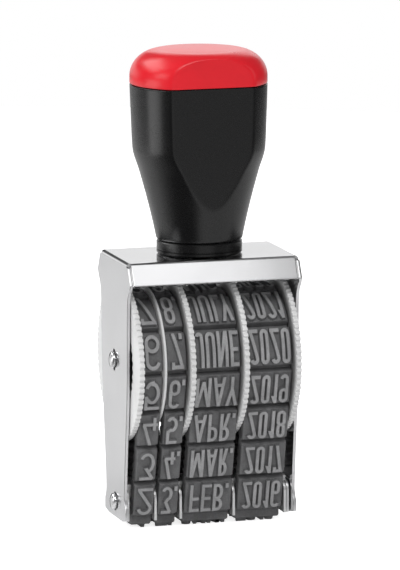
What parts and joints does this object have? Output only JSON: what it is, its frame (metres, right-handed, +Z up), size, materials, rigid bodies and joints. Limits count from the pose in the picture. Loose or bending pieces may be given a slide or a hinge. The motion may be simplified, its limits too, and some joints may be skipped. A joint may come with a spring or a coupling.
{
  "type": "date stamp",
  "caption": "Band date stamp: folded metal frame, tapered two-part handle, four serrated setting wheels that drive rubber type bands round a bottom anvil.",
  "frame": {"origin": "middle of the printing face, at the bottom of the bounding box", "axes": "+Z up towards the cap, X along the wheel axle with the year to +X, -Y the front with the readable side of the bands"},
  "size_m": [0.057, 0.0486, 0.1422],
  "materials": {
    "bright_chrome": "bright plated sheet",
    "zinc_steel": "zinc plated",
    "nickel_sheet": "satin nickel plate",
    "insert_brass": "plain",
    "black_plastic": "satin gloss moulding",
    "red_plastic": "satin gloss moulding",
    "white_plastic": "satin moulding",
    "grey_rubber": "matt vulcanised"
  },
  "bodies": {
    "root": {"frame_shell": "bright_chrome", "handle_body": "black_plastic", "handle_cap": "red_plastic", "neck_collar": "black_plastic", "handle_bolt": "zinc_steel", "bolt_washer": "zinc_steel", "threaded_insert": "insert_brass", "wheel_axle": "zinc_steel", "axle_screw_left": "zinc_steel", "axle_screw_right": "zinc_steel", "anvil_bar": "nickel_sheet", "anvil_screw_left": "zinc_steel", "anvil_screw_right": "zinc_steel", "day_divider": "nickel_sheet", "day_month_divider": "nickel_sheet", "month_year_divider": "nickel_sheet", "year_divider": "nickel_sheet", "day_tens_band": "grey_rubber", "day_units_band": "grey_rubber", "month_band": "grey_rubber", "year_band": "grey_rubber"},
    "day_tens_setter": {"day_tens_wheel": "white_plastic"},
    "day_units_setter": {"day_units_wheel": "white_plastic", "day_separator_disc": "white_plastic"},
    "month_setter": {"month_wheel": "white_plastic"},
    "year_setter": {"year_wheel": "white_plastic"}
  },
  "joints": [
    {"name": "day_tens_turn", "type": "hinge", "parent": "root", "child": "day_tens_setter", "pos_m": [-0.0202, 0, 0.0502], "axis": [1, 0, 0], "continuous": true, "deforming": ["day_tens_band"]},
    {"name": "day_units_turn", "type": "hinge", "parent": "root", "child": "day_units_setter", "pos_m": [-0.0127, 0, 0.0502], "axis": [1, 0, 0], "continuous": true, "deforming": ["day_units_band"]},
    {"name": "month_turn", "type": "hinge", "parent": "root", "child": "month_setter", "pos_m": [-0.00045, 0, 0.0502], "axis": [1, 0, 0], "continuous": true, "deforming": ["month_band"]},
    {"name": "year_turn", "type": "hinge", "parent": "root", "child": "year_setter", "pos_m": [0.0157, 0, 0.0502], "axis": [1, 0, 0], "continuous": true, "deforming": ["year_band"]}
  ]
}
